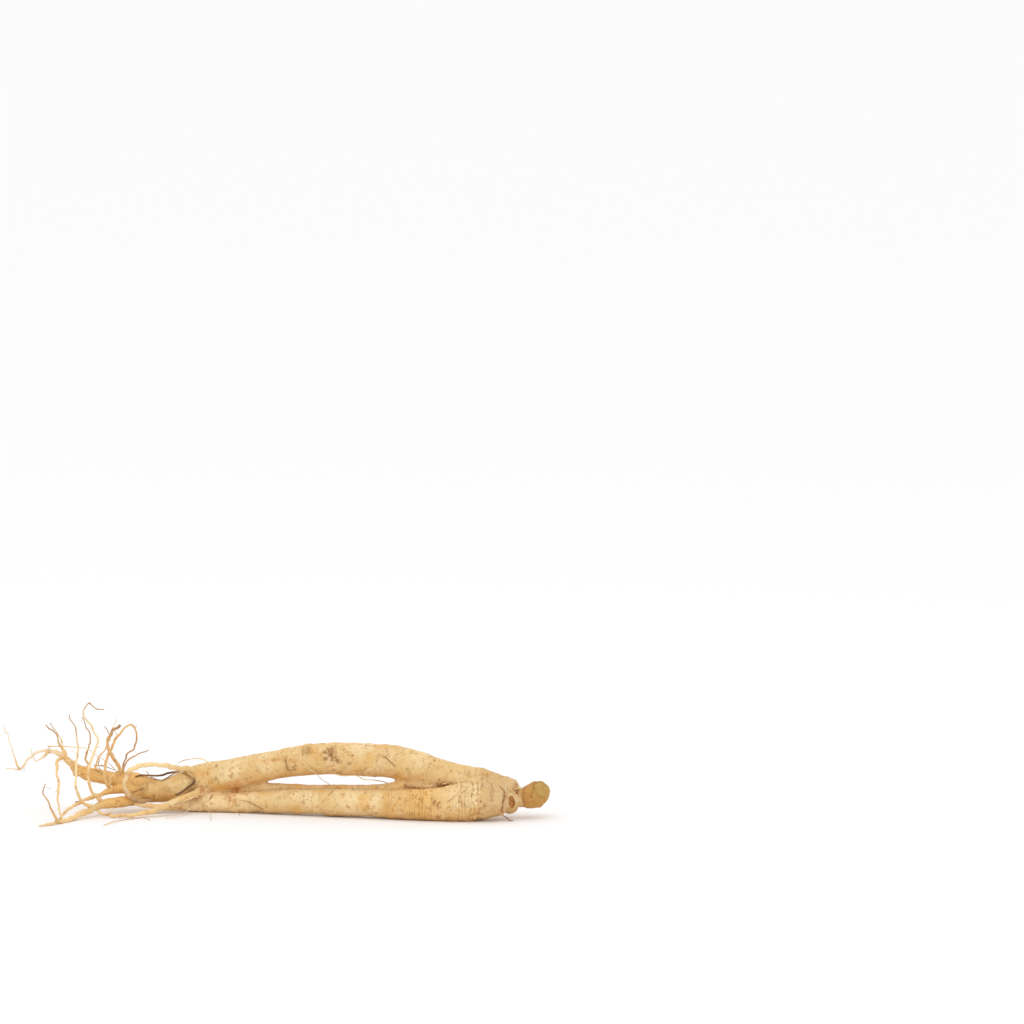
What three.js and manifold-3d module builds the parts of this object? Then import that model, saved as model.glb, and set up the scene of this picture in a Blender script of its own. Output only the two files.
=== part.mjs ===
// A fresh ginseng root, lying on its belly: a ringed body that runs out into a lower leg, an arched leg
// that leaves the same crown and lands behind it, a slim rear leg, the stub of last year's stem, and the
// rootlets that fan out of the arched leg's end. It grew as one piece, so it is one solid.
// Millimetres, +Z up. The origin is the middle of the flat spot under the belly, +X runs along the body
// towards the crown, and +Y runs from the lower leg's side to the arched leg's side.
import * as THREE from "three";
import { mergeVertices } from "three/addons/utils/BufferGeometryUtils.js";
import Module from "manifold-3d";

const wasm = await Module();
wasm.setup();

// Driving dimensions: the thickest radius of each kind of limb
const BODY_RADIUS = 6.9;
const CROWN_RADIUS = 4.2;
const STUB_RADIUS = 5.0;
const ARCHED_LEG_RADIUS = 6.5;
const LEG_END_RADIUS = 4.5;
const REAR_LEG_RADIUS = 2.2;
const UPPER_FORK_RADIUS = 3.2;
const LOWER_FORK_RADIUS = 2.4;
const MIDDLE_FORK_RADIUS = 2.2;
const COARSE_ROOTLET_RADIUS = 1.3;
const ROOTLET_RADIUS = 0.7;
const FINE_ROOTLET_RADIUS = 0.5;
const TIP_SHARE = 0.64;

// Skin relief
const RING_PITCH = 1.8;
const RING_HEIGHT = 0.22;
const RINGED_ZONE = { start: -22, end: 23, fade: 6 };
const LUMP_SHARE = 0.035;

// Faceting: a limb has more sides and longer steps the thicker it is
const LEAST_SIDES = 5;
const SIDES_PER_RADIUS = 1.8;
const STEP_BASE = 2.1;
const STEP_PER_RADIUS = 0.35;
const STUB_STEP = 0.7;
const RING_STEP = RING_PITCH / 3;
const FRAME_STEPS = 600;

// The surface that the root lies on, as a block that trims it flat from below
const TABLE = { size: 500, depth: 20 };

const SKIN = new THREE.MeshStandardMaterial({ color: 0xdfba83, roughness: 0.62, metalness: 0 });

// Thick limbs: stations [x, y, z, share of the limb's radius], from the crown outwards
const LIMBS = {
  body: {
    radius: BODY_RADIUS,
    ringed: true,
    stations: [
      [23.6, 1.4, 7.5, 0.25], [22.6, 1.2, 7.6, 0.62], [20.4, 0.6, 7.8, 0.86], [16, 0, 7.6, 0.95],
      [9.5, 0, 6.6, 1], [2, 0, 6.2, 0.97],
      [-5.5, 1, 5.8, 0.89], [-15, 3, 5.7, 0.81], [-24.5, 5.5, 5.6, 0.76], [-43, 10, 5.4, 0.7],
      [-62, 15, 4.8, 0.64], [-75, 18.5, 3.7, 0.54], [-84.5, 20, 2.8, 0.43], [-94, 20.5, 2.3, 0.33],
      [-102.5, 18, 2, 0.23], [-110.5, 15, 2.9, 0.15], [-117, 13, 4, 0.08],
    ],
  },
  arched_leg: {
    radius: ARCHED_LEG_RADIUS,
    stations: [
      [28, 8, 11.3, 0.14], [26.5, 8, 11.4, 0.36], [24, 8, 11.5, 0.52], [19, 8, 12.1, 0.69],
      [13, 8, 13.2, 0.78], [2, 9, 15, 0.88], [-9.5, 10.5, 17.8, 1], [-16.5, 11.5, 19.8, 0.97],
      [-24.5, 12.5, 20.8, 0.97], [-35.5, 14, 21.4, 0.92], [-43, 15.5, 21.3, 0.9], [-53, 17, 20.4, 0.88],
      [-62, 18.5, 18.5, 0.88], [-71, 20.5, 16.4, 0.85], [-80.5, 22.5, 13.9, 0.87], [-88, 23.5, 12.8, 0.88],
      [-93.5, 23.5, 12.2, 0.82], [-96.6, 23.4, 12, 0.68], [-98, 23.3, 11.8, 0.4],
    ],
  },
  // The narrower end that swells out of the arched leg's blunt tip and forks
  leg_end: {
    radius: LEG_END_RADIUS,
    stations: [
      [-94.8, 21, 10.7, 0.19], [-96, 21, 10.6, 0.67], [-98.4, 21, 10.4, 0.96], [-101.5, 21.2, 9.3, 0.98],
      [-105.5, 21.5, 7.8, 0.93], [-110, 21.8, 7.8, 1], [-114, 22, 8, 0.84], [-116.5, 22, 8.2, 0.42],
    ],
  },
  rear_leg: {
    radius: REAR_LEG_RADIUS,
    stations: [
      [-3, 4, 10.3, 0.82], [-10, 5.5, 11, 0.91], [-17, 8.5, 11.4, 0.95], [-25, 11, 10.2, 0.84],
      [-43, 15, 9.5, 0.8], [-58, 18.5, 9.2, 0.8], [-71, 21.3, 9.1, 0.75], [-80, 23.3, 7.3, 0.66],
      [-86, 25, 6, 0.52], [-93, 27.5, 3, 0.36], [-100, 30, 0.9, 0.24],
    ],
  },
  crown: {
    radius: CROWN_RADIUS,
    stations: [
      [18, 2, 6.8, 0.7], [22.5, 2.6, 6.4, 0.96], [25, 3.2, 6.1, 1], [27.2, 4, 6.2, 0.78],
      [28.4, 4.4, 6.4, 0.35],
    ],
  },
  // Neck, collar and the barrel of the old stem, broken off at its far end
  stem_stub: {
    radius: STUB_RADIUS,
    step: STUB_STEP,
    stations: [
      [23, 4, 7.6, 0.5], [27.4, 5, 7.7, 0.55], [28.1, 5.1, 7.7, 0.73], [28.9, 5.1, 7.75, 0.74],
      [29.4, 5.2, 7.75, 0.66], [29.9, 5.2, 7.75, 0.78], [31, 5.3, 7.8, 0.87], [33, 5.4, 8.4, 0.94],
      [34.8, 5.5, 9.1, 1.01], [36.4, 5.5, 9.4, 0.92], [37.7, 5.5, 9.2, 0.72], [38.8, 5.5, 8.9, 0.4],
    ],
  },
  upper_fork: {
    radius: UPPER_FORK_RADIUS,
    stations: [
      [-107, 21.8, 8.4, 0.9], [-112.5, 22, 10, 1], [-117, 22.5, 11.6, 0.97], [-124, 23, 12, 0.91],
      [-130, 23.5, 13, 0.86], [-135.5, 24, 14.2, 0.78], [-139, 24.5, 16.3, 0.53], [-142, 25, 19, 0.36],
      [-145, 25, 21, 0.31], [-149, 25.5, 22.4, 0.25], [-152.5, 26, 22, 0.2], [-156.5, 26.5, 19.8, 0.17],
      [-160, 27, 15.6, 0.15], [-165.5, 28, 15.4, 0.11],
    ],
  },
  lower_fork: {
    radius: LOWER_FORK_RADIUS,
    stations: [
      [-107, 22, 7.5, 1], [-114.5, 20.5, 5.2, 0.92], [-122, 16, 4.4, 0.85], [-128, 12, 4.3, 0.8],
      [-130.5, 9, 3.8, 0.54], [-134.5, 5, 2.4, 0.46], [-140, -2, 1, 0.38], [-144, -8, 0.7, 0.32],
      [-148, -13, 0.5, 0.24], [-151.5, -17, 0.4, 0.17],
    ],
  },
  // The slim root that fills the crotch of the two forks and runs out between them
  middle_fork: {
    radius: MIDDLE_FORK_RADIUS,
    stations: [
      [-112, 20.5, 8, 1], [-116, 20, 8, 0.96], [-120.5, 19.5, 8.8, 0.84], [-124, 18.5, 8.7, 0.75],
      [-126.5, 17, 8.4, 0.6], [-129.5, 14, 7.5, 0.4], [-133.5, 10, 6.6, 0.34], [-137, 7, 5.8, 0.3],
      [-140.5, 3, 4.4, 0.27], [-143, -1.5, 2.5, 0.24], [-144.5, -5, 1, 0.22],
    ],
  },
};

// Rootlets: the limb each grows from, how far along that limb, its radius there, and the way it takes
const ROOTLETS = [
  // The pale loop that leaves the arched leg's end and turns back under it
  { from: "arched_leg", at: 0.95, radius: 1.05, tip: 0.6, way: [
    [-98, 18.5, 16], [-102.5, 16, 17.6], [-107, 14.5, 18.5], [-111.5, 13.5, 18.9], [-115, 13, 18.5],
    [-118, 13, 17], [-120, 13, 14], [-120.5, 13.5, 11], [-119.5, 14, 8.2], [-117, 15.5, 5.7],
    [-113, 17.5, 4.4], [-109.5, 20, 4.6] ] },
  // The long beige rootlet in front of the lower leg's tail, down to the table
  { from: "arched_leg", at: 0.88, radius: 1.5, tip: 0.35, way: [
    [-91, 17.5, 8.8], [-97, 14, 6.8], [-101.5, 11, 5], [-106, 9, 3.4], [-111, 7.5, 2], [-118, 5.5, 0.9],
    [-124, 5, 0.7], [-128, 6, 1.2], [-131.5, 8, 3] ] },
  // The hidden lateral root behind the body, which steadies it on the table
  { from: "body", at: 0.24, radius: COARSE_ROOTLET_RADIUS, tip: 0.5, way: [
    [-8.5, 8, 5.8], [-11, 13, 4.8], [-15, 19, 2.8], [-20, 24, 1.3], [-27, 28, 0.7], [-36, 31, 0.6] ] },
  // Rootlets that rise in front of the upper fork
  { from: "lower_fork", at: 0.48, radius: ROOTLET_RADIUS, way: [
    [-134.5, 6, 4.6], [-137, 4.5, 8], [-138.5, 4, 12.5], [-138.2, 5, 19], [-138, 6, 23], [-137.6, 7, 27],
    [-138, 8, 30.5], [-139, 9, 34.5], [-141, 9.5, 37], [-141.4, 10, 38.5] ] },
  { from: "lower_fork", at: 0.34, radius: ROOTLET_RADIUS, way: [
    [-130.5, 9, 7], [-133, 7.5, 10.5], [-134, 7, 13.5], [-134, 7, 16.5], [-133, 8, 21], [-132, 9, 24],
    [-130.4, 10, 28.5], [-131.6, 10.5, 32], [-134, 11, 36], [-136, 11.5, 38], [-135.5, 12.5, 40.5],
    [-134, 13.5, 42.5], [-131, 15, 40], [-128, 16, 39.5] ] },
  { from: "upper_fork", at: 0.4, radius: ROOTLET_RADIUS, way: [
    [-139, 17, 14.5], [-140.5, 13, 18], [-142.3, 12, 22], [-143.7, 12, 25], [-145, 11, 28],
    [-146.5, 10, 31.5], [-148.5, 9, 33.2], [-149.7, 8, 35] ] },
  { from: "upper_fork", at: 0.46, radius: FINE_ROOTLET_RADIUS, way: [
    [-141.5, 19.5, 19.3], [-143, 17, 24], [-144, 16, 27], [-145.2, 15, 30], [-147, 14, 33],
    [-148.5, 13, 35] ] },
  { from: "upper_fork", at: 0.38, radius: FINE_ROOTLET_RADIUS, way: [
    [-134.3, 25, 17.5], [-135.5, 26, 19.2], [-134.5, 26.5, 23], [-133.5, 26, 27.5], [-135, 25, 31],
    [-136.5, 24, 35.3] ] },
  { from: "upper_fork", at: 0.25, radius: ROOTLET_RADIUS, way: [
    [-126.5, 16.5, 10.6], [-128, 14.5, 13.5], [-127.6, 14.5, 18.5], [-126, 14, 24], [-124, 14.5, 28],
    [-121, 15.5, 31.6], [-118.5, 16.5, 33.6], [-117, 17.5, 33], [-116, 18.5, 30.5], [-116, 20, 27],
    [-117, 21, 24.5], [-119, 22, 22.3], [-120.7, 23, 19], [-121.5, 23.5, 16] ] },
  { from: "upper_fork", at: 0.22, radius: COARSE_ROOTLET_RADIUS, tip: 0.45, way: [
    [-122.5, 20, 16.5], [-124.5, 17, 20.5], [-126.2, 13.5, 24.5], [-126.5, 10.5, 29], [-124.5, 8.5, 32.5],
    [-122, 7, 35] ] },
  { from: "upper_fork", at: 0.2, radius: FINE_ROOTLET_RADIUS, way: [
    [-121, 21, 17], [-119, 20.5, 19.5], [-117.5, 20, 21], [-114, 18.5, 22.6], [-111.5, 17.5, 24] ] },
  { from: "upper_fork", at: 0.34, radius: FINE_ROOTLET_RADIUS, way: [
    [-131.5, 29, 15], [-131, 33, 18.5], [-128, 35.5, 22], [-126.5, 36.5, 26], [-128.5, 37, 30] ] },
  // The pair that hangs from the upper fork's bend and meets the table in front
  { from: "upper_fork", at: 0.51, radius: 0.7, way: [
    [-144.3, 20, 20.6], [-145.6, 17, 19.5], [-146, 14, 17.4], [-145.5, 10, 14], [-145, 6, 10.8],
    [-145, 1, 6.6], [-144.5, -2, 4], [-143.5, -5.5, 1.4] ] },
  { from: "lower_fork", at: 0.8, radius: 0.6, way: [
    [-145.5, -10, 2], [-147, -10.5, 4.6], [-148, -10.5, 7.4], [-149, -10, 9.6], [-150.5, -9.5, 12.5],
    [-149.5, -9, 15] ] },
  // Whiskers at the far end of the upper fork
  { from: "upper_fork", at: 0.93, radius: 0.42, tip: 0.8, way: [
    [-162, 27.5, 18.5], [-163.6, 28, 23.5], [-164.6, 28.5, 27.5], [-166.5, 29, 31.5] ] },
  { from: "upper_fork", at: 0.7, radius: 0.5, way: [
    [-151, 24, 20.6], [-154, 23, 19], [-155.2, 22, 21], [-156, 21, 24] ] },
  // Rootlets on the side away from the lower leg
  { from: "upper_fork", at: 0.12, radius: ROOTLET_RADIUS, way: [
    [-114.5, 27, 10.5], [-119, 32, 9], [-126, 35.5, 6], [-133, 38, 2.6], [-140, 39, 0.8] ] },
  { from: "leg_end", at: 0.45, radius: ROOTLET_RADIUS, way: [
    [-101, 28, 7.5], [-106, 32, 5], [-113, 34.5, 2.6], [-121, 35, 0.9], [-128, 33, 0.6] ] },
  // The curled hair root at the arched leg's end
  { from: "arched_leg", at: 0.84, radius: 0.42, tip: 0.75, way: [
    [-87.5, 18.5, 17.6], [-89.5, 17, 19.6], [-92, 16.5, 20.9], [-94.5, 16, 21], [-97.5, 15.5, 20.5],
    [-100.5, 15, 19.4] ] },
];

// Shallow dishes in the skin: the scar of an older stem on the crown, and the stub's broken face
const DISHES = [
  { centre: [25.3, -1.1, 6.8], radii: [1.2, 1.1, 2.6] },
  { centre: [38.5, 0, 12.3], radii: [4.2, 4.2, 4.2] },
];
const DISH_SIDES = 16;

const point = ([x, y, z]) => new THREE.Vector3(x, y, z);

// The annular rings of the body, in millimetres of height at a place x along it and an angle round it
function ringHeight(x, angle) {
  const { start, end, fade } = RINGED_ZONE;
  const fadeIn = THREE.MathUtils.smoothstep(x, start, start + fade);
  const fadeOut = 1 - THREE.MathUtils.smoothstep(x, end - fade, end);
  const waver = 0.18 * Math.sin(angle + 0.21 * x) + 0.12 * Math.sin(2 * angle - 0.13 * x);
  return RING_HEIGHT * fadeIn * fadeOut * Math.sin(2 * Math.PI * (x / RING_PITCH + waver));
}

// Slow lumps that keep a limb from being a turned shape, as a share of its radius
function lump(along, angle) {
  return LUMP_SHARE * (Math.sin(2 * angle + 0.33 * along) + Math.sin(3 * angle - 0.21 * along + 1));
}

// Distances along a limb at which it has a ring of vertices: closer together where the skin is ringed
function ringDistances(curve, length, step, ringed) {
  const { start, end } = RINGED_ZONE;
  const distances = [0];
  while (distances.at(-1) < length) {
    const here = distances.at(-1);
    const x = curve.getPointAt(Math.min(1, here / length)).x;
    const fine = ringed && x > start && x < end;
    distances.push(here + (fine ? RING_STEP : step));
  }
  const stretch = length / distances.at(-1);
  return distances.map((distance) => distance * stretch);
}

// A limb as a closed lathe of its girth, bent along the curve through its stations
function limbGeometry({ radius, stations, step = STEP_BASE + STEP_PER_RADIUS * radius, ringed = false }) {
  const curve = new THREE.CatmullRomCurve3(stations.map(point), false, "centripetal");
  const girths = stations.map((station, i) => new THREE.Vector2(i, radius * station[3]));
  const girth = new THREE.SplineCurve(girths);
  const length = curve.getLength();
  const frames = curve.computeFrenetFrames(FRAME_STEPS, false);
  const rings = ringDistances(curve, length, step, ringed).map((along) => {
    const share = Math.min(1, along / length);
    const frame = Math.round(share * FRAME_STEPS);
    return {
      along,
      centre: curve.getPointAt(share),
      normal: frames.normals[frame],
      binormal: frames.binormals[frame],
      radius: girth.getPoint(curve.getUtoTmapping(share)).y,
    };
  });

  const last = rings.length - 1;
  const profile = [new THREE.Vector2(0, 0)];
  rings.forEach((ring, i) => profile.push(new THREE.Vector2(ring.radius, i)));
  profile.push(new THREE.Vector2(0, last));
  const sides = Math.max(LEAST_SIDES, Math.round(LEAST_SIDES + SIDES_PER_RADIUS * (radius - 0.5)));
  const geometry = new THREE.LatheGeometry(profile, sides);

  const place = geometry.attributes.position;
  for (let i = 0; i < place.count; i++) {
    const ring = rings[Math.round(place.getY(i))];
    const angle = Math.atan2(place.getX(i), place.getZ(i));
    const lumps = Math.hypot(place.getX(i), place.getZ(i)) * lump(ring.along, angle);
    const relief = ringed ? ringHeight(ring.centre.x, angle) : 0;
    const grow = ring.radius > 0 ? 1 + (lumps + relief) / ring.radius : 1;
    const vertex = ring.centre
      .clone()
      .addScaledVector(ring.binormal, place.getX(i) * grow)
      .addScaledVector(ring.normal, place.getZ(i) * grow);
    place.setXYZ(i, vertex.x, vertex.y, vertex.z);
  }
  return geometry;
}

// A rootlet as a limb: it starts on its parent's middle line, so that its root is sunk well in
function rootletLimb({ from, at, radius, tip = TIP_SHARE, way }) {
  const parent = new THREE.CatmullRomCurve3(LIMBS[from].stations.map(point), false, "centripetal");
  const start = parent.getPoint(at).toArray();
  const taper = (i) => THREE.MathUtils.lerp(1, tip, i / way.length);
  const stations = [start, ...way].map((place, i) => [...place, taper(i)]);
  return { radius, stations };
}

// A closed geometry as a solid: shared vertices merged, and the slivers at a lathe's poles dropped
function solid(geometry) {
  geometry.deleteAttribute("normal");
  geometry.deleteAttribute("uv");
  const merged = mergeVertices(geometry, 1e-4);
  const index = merged.index.array;
  const triangles = [];
  for (let i = 0; i < index.length; i += 3) {
    const [a, b, c] = index.subarray(i, i + 3);
    if (a !== b && b !== c && c !== a) triangles.push(a, b, c);
  }
  return new wasm.Manifold(
    new wasm.Mesh({
      numProp: 3,
      vertProperties: merged.attributes.position.array,
      triVerts: new Uint32Array(triangles),
    }),
  );
}

// A solid back as a geometry, with flat faces
function geometryOf(body) {
  const mesh = body.getMesh();
  const geometry = new THREE.BufferGeometry();
  geometry.setAttribute("position", new THREE.BufferAttribute(mesh.vertProperties, mesh.numProp));
  geometry.setIndex(new THREE.BufferAttribute(mesh.triVerts, 1));
  geometry.computeVertexNormals();
  return geometry;
}

function dish({ centre, radii }) {
  const ball = new THREE.SphereGeometry(1, DISH_SIDES, DISH_SIDES / 2);
  return solid(ball.scale(...radii).translate(...centre));
}

// Every limb and rootlet joined in one body, dished, and trimmed flat where it presses on the table
function rootBody() {
  const limbs = [...Object.values(LIMBS), ...ROOTLETS.map(rootletLimb)];
  const joined = limbs.map((limb) => solid(limbGeometry(limb))).reduce((whole, limb) => whole.add(limb));
  const table = new THREE.BoxGeometry(TABLE.size, TABLE.size, TABLE.depth).translate(0, 0, -TABLE.depth / 2);
  return [...DISHES.map(dish), solid(table)].reduce((whole, cut) => whole.subtract(cut), joined);
}

const root = new THREE.Mesh(geometryOf(rootBody()), SKIN);
root.name = "ginseng_root";

const ginseng = new THREE.Group();
ginseng.add(root);

export default ginseng;
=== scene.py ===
"""The looks of a ginseng root: its ringed and scarred skin, its rootlets and hair roots, on a pale floor.

Lengths are millimetres in the row's frame, and MM turns them into the scene's metres. A listed place is given
as (right, up): millimetres right of and above the origin as the camera sees it. onto_root finds the spot on
the root, or on the floor, that it falls on.
"""

import math

import bmesh
import bpy
import numpy as np
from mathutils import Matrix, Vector
from mathutils.bvhtree import BVHTree


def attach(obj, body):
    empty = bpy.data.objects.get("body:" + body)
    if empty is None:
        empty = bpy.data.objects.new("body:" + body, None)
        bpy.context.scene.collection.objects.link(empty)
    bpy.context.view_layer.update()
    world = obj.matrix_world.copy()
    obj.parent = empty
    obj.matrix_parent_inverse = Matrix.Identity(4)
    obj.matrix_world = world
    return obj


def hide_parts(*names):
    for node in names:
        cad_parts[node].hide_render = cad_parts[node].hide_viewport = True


MM = 0.001

# The camera, as the photograph was taken
CAMERA_ELEVATION = math.radians(8)
CAMERA_DISTANCE = 6000
SENSOR_WIDTH = 36
PICTURE_WIDTH = 384
PICTURE_CENTRE = (25.1, 115.6)
RIGHT = np.array((1, 0, 0))
UP = np.array((0, math.sin(CAMERA_ELEVATION), math.cos(CAMERA_ELEVATION)))
AHEAD = np.array((0, math.cos(CAMERA_ELEVATION), -math.sin(CAMERA_ELEVATION)))
RAY_START = 300
FLOOR_REACH = 20000

# The skin's mesh
VOXEL = 0.49
LIMB_SIDES = 48
SLIM_RADIUS = 1.25
SLIM_OVERLAP = 4
AXIS_STEP = 0.5
FILLET_REACH = 1.6
FILLET_ROUNDS = 24

# The rings of the body: where they lie along X, and their pitch from end to end
RING_START = -24
RING_END = 22.5
RING_FADE = 5
RING_PITCHES = ((-24, 0.95), (0, 1.05), (8, 1.5), (23, 1.9))
RING_DEPTH = 0.16

# A smooth pale bulge on the ringed body: its middle and its three radii
BULGE = (2.5, -5.2, 10.8)
BULGE_RADII = (4.5, 5, 2.6)

# Places and stretches along X where the skin changes
STUB_START = (27.6, 28.6)
GREY_CROWN = (10, 16)
PALE_TAIL = (-78, -68)
GOLDEN_MIDDLE = -8
GOLDEN_REACH = 8
NECK_X = 26.8
COLLAR_X = 29.4
DARK_SCAR_SIDE = (24.7, 25.9)

# How far rootlets and hair roots stray from their way
KINK = 0.16
HAIR_KINK = 0.06

# Light, with the lamp's size and places in metres
SKY_STRENGTH = 1.06
LAMP_SIZE = 0.7
LAMP_PLACE = (-0.15, -0.35, 0.85)
LAMP_TARGET = (-0.05, 0, 0)

# Limbs: (x, y, z, radius) from the crown outwards
LIMBS = {
    "body": [
        (23.6, 1.4, 7.5, 1.7), (22.6, 1.2, 7.6, 4.3), (20.4, 0.6, 7.8, 5.9), (16, 0, 7.6, 6.55),
        (9.5, 0, 6.6, 6.9), (2, 0, 6.2, 6.7), (-5.5, 1, 5.8, 6.15), (-15, 3, 5.7, 5.6),
        (-24.5, 5.5, 5.6, 5.25), (-43, 10, 5.4, 4.85), (-62, 15, 4.8, 4.4), (-75, 18.5, 3.8, 3.8),
        (-82, 19.7, 3.65, 3.65), (-88.5, 20.3, 3.4, 3.45), (-92.5, 20.4, 2.85, 2.85), (-97, 19.8, 2.35, 2.2),
        (-102.5, 18, 2, 1.6), (-110.5, 15, 2.9, 1), (-117, 13, 4, 0.45),
    ],
    "crown": [
        (18, 2, 6.8, 2.9), (22.5, 2.6, 6.4, 4), (24.6, 3.1, 6.1, 4.2), (26.3, 3.6, 6.1, 3.5),
        (27.1, 3.9, 6.1, 2.2), (27.5, 4, 6.1, 1),
    ],
    "stem_stub": [
        (23, 4, 7.6, 2.5), (27.4, 5, 7.7, 2.75), (28.1, 5.1, 7.7, 3.65), (28.9, 5.1, 7.75, 3.7),
        (29.4, 5.2, 7.75, 3.3), (29.9, 5.2, 7.75, 3.9), (31, 5.3, 7.9, 4.35), (33, 5.4, 8.5, 4.7),
        (34.7, 5.5, 9, 5.15), (36.1, 5.5, 9.2, 4.75), (37.4, 5.5, 9.2, 3.9), (38.5, 5.5, 9.1, 2.8),
        (39.1, 5.5, 9, 1.5),
    ],
    "arched_leg": [
        (28, 8, 11.3, 0.9), (26.5, 8, 11.4, 2.35), (24, 8, 11.5, 3.4), (19, 8, 12.1, 4.5),
        (13, 8, 13.2, 5.05), (2, 9, 15, 5.7), (-9.5, 10.5, 17.8, 6.5), (-16.5, 11.5, 19.8, 6.3),
        (-24.5, 12.5, 20.8, 6.3), (-35.5, 14, 21.1, 6.1), (-43, 15.5, 20.8, 6.1), (-53, 17, 20.2, 5.75),
        (-62, 18.5, 18.6, 5.4), (-71, 20.5, 16.4, 5.4), (-80.5, 22.5, 13.9, 5.65), (-88, 23.5, 12.8, 5.7),
        (-93.5, 23.5, 12.2, 5.35), (-96.6, 23.4, 12, 4.4), (-98, 23.3, 11.8, 2.6),
    ],
    "leg_end": [
        (-94.8, 21, 10.7, 0.9), (-96, 21, 10.6, 3), (-98.4, 21, 10.4, 4.3), (-101.5, 21.2, 9.3, 4.4),
        (-105.5, 21.5, 7.8, 4.2), (-110, 21.8, 7.8, 4.5), (-114, 22, 8, 3.8), (-116.5, 22, 8.2, 1.9),
    ],
    "rear_leg": [
        (-3, 4, 10.3, 1.8), (-10, 5.5, 11, 2), (-17, 8.5, 11.4, 2.1), (-25, 11, 10.2, 1.85),
        (-43, 15, 9.5, 1.75), (-58, 18.5, 9.2, 1.75), (-71, 21.3, 9.1, 1.65), (-80, 23.3, 7.3, 1.45),
        (-86, 25, 6, 1.15), (-93, 27.5, 3, 0.8), (-100, 30, 0.9, 0.5),
    ],
    "shoulder": [
        (3, 3.5, 10.6, 1.4), (8, 3.4, 11.6, 2.4), (13, 3.2, 12, 2.9), (18, 3.4, 11.4, 3.2),
        (22, 4, 10.4, 3.1), (25, 5, 9.6, 2.2),
    ],
    "prong": [
        (-86, 22, 11.5, 1.4), (-90, 20.6, 8.9, 1.95), (-93, 18, 7.6, 1.75), (-97, 14.8, 6.4, 1.5),
        (-101.5, 11, 5.3, 1.35), (-106, 9, 3.6, 1.3), (-111, 7.5, 2, 1), (-118, 5.5, 0.9, 0.75),
        (-124, 5, 0.7, 0.6), (-128, 6, 1.2, 0.5), (-131.5, 8, 3, 0.4),
    ],
    "upper_fork": [
        (-107, 21.8, 8.4, 2.9), (-112.5, 22, 10, 3.2), (-117, 22.5, 11.6, 3.1), (-124, 23, 12, 2.9),
        (-130, 23.5, 13, 2.75), (-135.5, 24, 14.2, 2.5), (-139, 24.5, 16.3, 1.7), (-142, 25, 19, 1.15),
        (-145, 25, 21, 1), (-149, 25.5, 22.4, 0.8), (-152.5, 26, 22, 0.6), (-156.5, 26.5, 19.8, 0.5),
        (-160, 27, 15.6, 0.4), (-165.5, 28, 15.4, 0.2),
    ],
    "lower_fork": [
        (-107, 22, 7.5, 2.4), (-114.5, 20.5, 5.2, 2.2), (-122, 16, 4.4, 2.05), (-128, 12, 4.3, 1.9),
        (-130.5, 9, 3.8, 1.3), (-134.5, 5, 2.4, 1.1), (-140, -2, 1, 0.9), (-144, -8, 0.7, 0.75),
        (-148, -13, 0.5, 0.5), (-151.5, -17, 0.4, 0.3),
    ],
    "middle_fork": [
        (-112, 20.5, 8, 2.2), (-116, 20, 8, 2.1), (-120.5, 19.5, 8.8, 1.85), (-124, 18.5, 8.7, 1.65),
        (-126.5, 17, 8.4, 1.35), (-129.5, 14, 7.5, 0.9), (-133.5, 10, 6.6, 0.75), (-137, 7, 5.8, 0.65),
        (-140.5, 3, 4.4, 0.55), (-143, -1.5, 2.5, 0.45), (-144.5, -5, 1, 0.3),
    ],
}

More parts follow.
